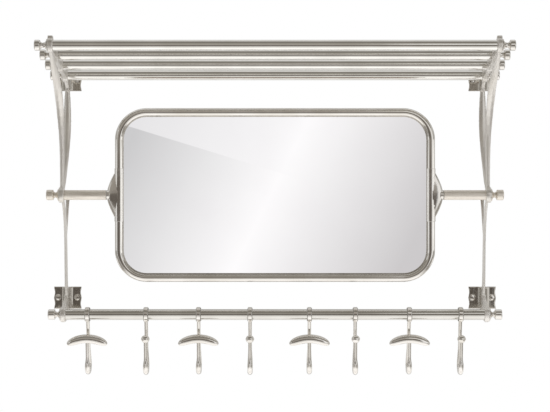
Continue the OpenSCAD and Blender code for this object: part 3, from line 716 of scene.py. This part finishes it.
def glowCard(name, corners, sharp=False):
    # a studio card that only reflections see: the sharp ones in the mirror, or else the metal's
    bm = bmesh.new()
    bm.faces.new([bm.verts.new(c) for c in corners])
    mesh = plainMesh(bm, name)
    card = linkedObject(name, mesh)
    material, tree, place = newMaterial(name)
    glow = addNode(tree, "ShaderNodeEmission", {"Strength": 1})
    clear = addNode(tree, "ShaderNodeBsdfTransparent").outputs[0]
    rays = addNode(tree, "ShaderNodeLightPath")
    order = (clear, glow.outputs[0]) if sharp else (glow.outputs[0], clear)
    cover = addNode(tree, "ShaderNodeMixShader", {},
                    {0: rays.outputs["Is Singular Ray"], 1: order[0], 2: order[1]})
    addNode(tree, "ShaderNodeOutputMaterial", {}, {"Surface": cover.outputs[0]})
    mesh.materials.append(material)
    card.visible_camera = card.visible_diffuse = card.visible_shadow = False
    card.visible_transmission = card.visible_volume_scatter = False
    axes = addNode(tree, "ShaderNodeSeparateXYZ", {}, {0: place})
    return tree, glow, axes.outputs


def rampOf(tree, value, stops):
    # colours along a value, the stops given as value and tone
    low, high = stops[0][0], stops[-1][0]
    share = addNode(tree, "ShaderNodeMapRange", {"From Min": low, "From Max": high},
                    {"Value": value})
    ramp = addNode(tree, "ShaderNodeValToRGB", {}, {"Fac": share.outputs["Result"]})
    points = ramp.color_ramp.elements
    while len(points) < len(stops):
        points.new(0.5)
    for point, (at, tone) in zip(points, stops):
        point.position = (at - low) / (high - low)
        point.color = tone + [1]
    return ramp.outputs["Color"]


def upright(left, right, y, low, high):
    # corners of a card that faces the rack
    return [(left, y, low), (right, y, low), (right, y, high), (left, y, high)]


def shadedCard(name, corners, axis, stops):
    # a studio card whose tone runs along one axis
    tree, glow, axes = glowCard(name, corners)
    tree.links.new(rampOf(tree, axes[axis], stops), glow.inputs["Color"])


def spanCard(name, start, end, stops):
    # a card from side to side of the room, from one (y, z) to another, toned along Y
    half = roomForm["half"]
    (near, low), (far, high) = start, end
    shadedCard(name, [(-half, near, low), (half, near, low), (half, far, high), (-half, far, high)],
               "Y", stops)


# What the mirror shows: brightest along a leaning line, and paler over an edge at the upper left.
viewForm = {"y": -4.5, "half": 1.2, "low": -1, "high": 0.9, "lean": -0.5, "slope": 0.309,
            "edge": 0.13, "edgeBlur": 0.004, "paler": 0.62, "fade": (-0.1, 0.15),
            "palest": (1, 0.99, 1, 1)}
viewTones = [(-0.85, [0.66, 0.66, 0.665]), (-0.03, [1.07, 1.06, 1.065]),
             (0.79, [0.66, 0.645, 0.65])]


def mirrorCard():
    form = viewForm
    corners = upright(-form["half"], form["half"], form["y"], form["low"], form["high"])
    tree, glow, axes = glowCard("mirrorCard", corners, sharp=True)
    lean = addNode(tree, "ShaderNodeMath", {"operation": "MULTIPLY_ADD", 1: form["lean"]},
                   {0: axes["Z"], 2: axes["X"]})
    above = addNode(tree, "ShaderNodeMath", {"operation": "MULTIPLY_ADD", 1: form["slope"]},
                    {0: axes["X"], 2: axes["Z"]})
    edge = addNode(tree, "ShaderNodeMapRange", {"From Min": form["edge"],
                                                "From Max": form["edge"] + form["edgeBlur"],
                                                "To Min": 0, "To Max": form["paler"]},
                   {"Value": above.outputs[0]})
    left = addNode(tree, "ShaderNodeMapRange", {"From Min": form["fade"][0],
                                                "From Max": form["fade"][1],
                                                "To Min": 1, "To Max": 0}, {"Value": axes["X"]})
    part = addNode(tree, "ShaderNodeMath", {"operation": "MULTIPLY"},
                   {0: edge.outputs["Result"], 1: left.outputs["Result"]})
    mixed = addNode(tree, "ShaderNodeMix", {"data_type": "RGBA", 7: form["palest"]},
                    {0: part.outputs[0], 6: rampOf(tree, lean.outputs[0], viewTones)})
    tree.links.new(mixed.outputs[2], glow.inputs["Color"])


# The room that the metal reflects: a dark wall in front, a pale table, ceiling and back wall.
roomForm = {"half": 3.4, "front": -2.2, "back": 1.3, "foot": -1.1, "backTop": 2.4, "sideTop": 2.2,
            "sideSplit": -0.45, "frontTop": 1.25, "ceiling": 1.75, "ceilingFront": -0.3,
            "tableFront": -0.75, "tableEnd": 0.15, "tableLow": -0.97}
wallForm = {"left": -2.8, "right": 1.15, "leftFade": 0.6, "rightFade": 0.35}


def frontWall():
    # a dark, faintly warm wall before the rack, paler low down and fading out at both ends
    left, right = wallForm["left"], wallForm["right"]
    low, high = roomForm["tableFront"], roomForm["frontTop"]
    corners = upright(left, right, roomForm["front"], low, high)
    tree, glow, axes = glowCard("frontWall", corners)
    tone = rampOf(tree, axes["Z"], [(low, [1.05, 1.05, 1.05]), (-0.56, [0.25, 0.23, 0.21]),
                                    (-0.38, [0.15, 0.134, 0.12]), (0.08, [0.17, 0.152, 0.136]),
                                    (0.26, [0.36, 0.335, 0.305]), (0.85, [0.42, 0.395, 0.36])])
    ends = rampOf(tree, axes["X"], [(left, [1, 1, 1]), (left + wallForm["leftFade"], [0, 0, 0]),
                                    (right - wallForm["rightFade"], [0, 0, 0]),
                                    (right, [1, 1, 1])])
    both = addNode(tree, "ShaderNodeMix", {"data_type": "RGBA", "blend_type": "LIGHTEN", 0: 1},
                   {6: tone, 7: ends})
    tree.links.new(both.outputs[2], glow.inputs["Color"])


# A bright window in that wall, high up at the right.
windowForm = {"left": 0.3, "right": 1.5, "y": -2.15, "low": 0.55, "high": 1.23}
mirrorCard()
frontWall()
shadedCard("window", upright(**windowForm), "X",
           [(windowForm["left"], [0.4, 0.375, 0.34]), (0.5, [0.95, 0.94, 0.92]),
            (windowForm["right"], [1, 1, 1])])

half, front, back, foot = (roomForm[key] for key in ("half", "front", "back", "foot"))
ceiling, ceilingFront = roomForm["ceiling"], roomForm["ceilingFront"]
tableFront, tableEnd, tableLow = (roomForm[key] for key in ("tableFront", "tableEnd", "tableLow"))
spanCard("overhead", (front, roomForm["frontTop"]), (ceilingFront, ceiling),
         [(front, [0.36, 0.34, 0.305]), (-1.2, [0.22, 0.205, 0.18]),
          (-0.45, [0.3, 0.285, 0.255]), (ceilingFront, [0.7, 0.7, 0.7])])
spanCard("table", (front, tableFront), (tableEnd, tableLow),
         [(front, [0.55, 0.535, 0.51]), (-1.5, [0.72, 0.705, 0.68]), (-1.1, [1.0, 0.985, 0.96]),
          (-0.7, [1.22, 1.21, 1.19]), (-0.3, [1.3, 1.29, 1.28]), (-0.16, [1.15, 1.13, 1.11]),
          (-0.04, [1.1, 1.08, 1.06]), (0.1, [1.3, 1.28, 1.26]), (tableEnd, [1.34, 1.32, 1.3])])
spanCard("tableBack", (tableEnd, tableLow), (back, foot),
         [(tableEnd, [1.34, 1.32, 1.3]), (back, [1.3, 1.28, 1.26])])
spanCard("ceiling", (ceilingFront, ceiling), (back, ceiling),
         [(ceilingFront, [0.66, 0.65, 0.64]), (0.3, [1, 1, 1]), (0.5, [0.62, 0.61, 0.59]),
          (back, [0.55, 0.54, 0.52])])
shadedCard("back", upright(-half, half, back, foot, roomForm["backTop"]), "Z",
           [(foot, [1.0, 0.99, 0.97]), (-0.35, [0.5, 0.49, 0.47]), (-0.2, [0.8, 0.79, 0.78]),
            (0.25, [0.9, 0.9, 0.89]), (0.45, [0.45, 0.44, 0.42]),
            (roomForm["backTop"], [0.9, 0.9, 0.9])])

# Beyond the rack's ends the table darkens, and the side walls are darker on the left.
endForm = {"near": 0.85, "dark": 1.25, "rise": 0.01}
sideTones = {"left": {"Fore": 0.95, "Aft": 0.5}, "right": {"Fore": 1.35, "Aft": 0.75}}
spans = {"Fore": (front, roomForm["sideSplit"]), "Aft": (roomForm["sideSplit"], back)}
for name, way in sides.items():
    near, far = way * endForm["near"], way * half
    low, high = tableLow + endForm["rise"], tableFront + endForm["rise"]
    shadedCard(name + "Table", [(near, front, high), (far, front, high), (far, tableEnd, low),
                                (near, tableEnd, low)], "X",
               [(near, [1.05, 1.04, 1.02]), (way * endForm["dark"], [0.4, 0.38, 0.355]),
                (far, [0.32, 0.305, 0.285])])
    for part, (start, end) in spans.items():
        tone, top = [sideTones[name][part]] * 3, roomForm["sideTop"]
        shadedCard(name + part, [(far, start, foot), (far, end, foot), (far, end, top),
                                 (far, start, top)], "Z",
                   [(foot, [0.5, 0.49, 0.47]), (-0.36, [0.38, 0.37, 0.35]),
                    (-0.2, tone), (0.18, tone), (0.36, [0.46, 0.45, 0.43]),
                    (top, [0.85, 0.85, 0.85])])

# Matte pale floor under the rack, which fades into the white all round.
floorForm = {"radius": 1.7, "steps": 96, "fade": 1.15, "height": -1.0}
bm = bmesh.new()
bmesh.ops.create_circle(bm, cap_ends=True, segments=floorForm["steps"], radius=floorForm["radius"])
floorMesh = plainMesh(bm, "floor")
floorPiece = linkedObject("floor", floorMesh)
floorPiece.location = (0, 0, floorForm["height"])
floorPaint, tree, place = newMaterial("paleFloor")
distance = addNode(tree, "ShaderNodeVectorMath", {"operation": "LENGTH"}, {0: place})
fade = addNode(tree, "ShaderNodeMapRange", {"From Min": floorForm["fade"],
                                            "From Max": floorForm["radius"]},
               {"Value": distance.outputs["Value"]})
paint = addNode(tree, "ShaderNodeBsdfDiffuse", {"Color": linearColour("#f2f2f1")})
clear = addNode(tree, "ShaderNodeBsdfTransparent")
cover = addNode(tree, "ShaderNodeMixShader", {}, {0: fade.outputs["Result"],
                                                  1: paint.outputs[0], 2: clear.outputs[0]})
addNode(tree, "ShaderNodeOutputMaterial", {}, {"Surface": cover.outputs[0]})
floorMesh.materials.append(floorPaint)

# White to the eye and in reflections, and softer where it lights the matte parts.
world = bpy.data.worlds.new("studio")
bpy.context.scene.world = world
world.use_nodes = True
tree = world.node_tree
tree.nodes.clear()
rays = addNode(tree, "ShaderNodeLightPath").outputs
seen = addNode(tree, "ShaderNodeMath", {"operation": "MAXIMUM"},
               {0: rays["Is Camera Ray"], 1: rays["Is Glossy Ray"]})
seen = addNode(tree, "ShaderNodeMath", {"operation": "MAXIMUM"},
               {0: seen.outputs[0], 1: rays["Is Transmission Ray"]})
soft = addNode(tree, "ShaderNodeBackground", {"Color": (1, 1, 1, 1), "Strength": 0.75})
white = addNode(tree, "ShaderNodeBackground", {"Color": (1, 1, 1, 1), "Strength": 1})
both = addNode(tree, "ShaderNodeMixShader", {}, {0: seen.outputs[0], 1: soft.outputs[0],
                                                 2: white.outputs[0]})
addNode(tree, "ShaderNodeOutputWorld", {}, {"Surface": both.outputs[0]})

lampForm = {"power": 26, "size": 1.6, "place": (-1.4, -2.2, 1.9)}
keyLight = bpy.data.lights.new("keyLight", "AREA")
keyLight.energy = lampForm["power"]
keyLight.size = lampForm["size"]
keyLamp = linkedObject("keyLamp", keyLight)
keyLamp.location = lampForm["place"]
keyLamp.rotation_euler = (-keyLamp.location).to_track_quat("-Z", "Y").to_euler()
keyLamp.visible_glossy = False

# Level and square to the rack, at the distance that gives the photo's perspective.
cameraForm = {"sensor": 36, "lens": 104.14, "nearest": 0.05, "place": (0, -3.586, -0.0385)}
lens = bpy.data.cameras.new("camera")
lens.sensor_width = cameraForm["sensor"]
lens.lens = cameraForm["lens"]
lens.clip_start = cameraForm["nearest"]
camera = linkedObject("camera", lens)
camera.location = cameraForm["place"]
camera.rotation_euler = (math.pi / 2, 0, 0)
bpy.context.scene.camera = camera
bpy.context.scene.view_settings.view_transform = "Standard"
print("room lit")
